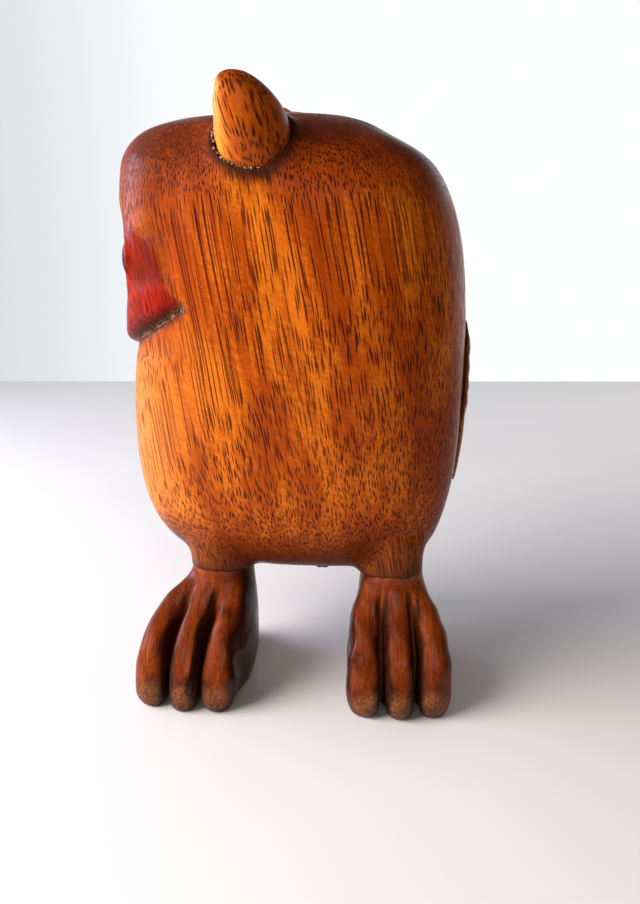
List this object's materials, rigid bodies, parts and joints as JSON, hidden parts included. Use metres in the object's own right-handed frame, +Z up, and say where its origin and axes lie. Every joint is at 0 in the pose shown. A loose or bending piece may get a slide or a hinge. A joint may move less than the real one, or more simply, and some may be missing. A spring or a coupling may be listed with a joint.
{
  "type": "carved wooden owl figurine",
  "caption": "Carved hardwood owl standing on three-toed feet, its head turned a quarter turn to one side, with ear tufts, a beak and inlaid eyes.",
  "frame": {"origin": "middle of the footprint box on the surface the soles stand on", "axes": "+Z up; the breast and the toes point along -Y, the head's face looks along -X, the owl's left wing is on +X"},
  "size_m": [0.0886, 0.0682, 0.1452],
  "materials": {
    "body": "clear gloss varnish over reddish-brown tropical hardwood, with red stain on the face",
    "ear_tuft": "clear gloss varnish over hardwood",
    "wing": "clear gloss varnish over hardwood",
    "foot": "dark clear gloss varnish over hardwood, rubbed lighter at the toe tips",
    "dowel": "bare pale wood, hidden in its bores",
    "beak": "black gloss paint",
    "iris": "amber inlay, polished",
    "pupil": "black bead, polished"
  },
  "bodies": {
    "root": {"body_block": "body", "ear_tuft_left": "ear_tuft", "ear_tuft_right": "ear_tuft", "ear_dowel_left": "dowel", "ear_dowel_right": "dowel", "beak": "beak", "iris_left": "iris", "iris_right": "iris", "pupil_left": "pupil", "pupil_right": "pupil", "wing_left": "wing", "wing_right": "wing", "foot_left": "foot", "foot_right": "foot", "leg_dowel_left": "dowel", "leg_dowel_right": "dowel"}
  },
  "joints": []
}
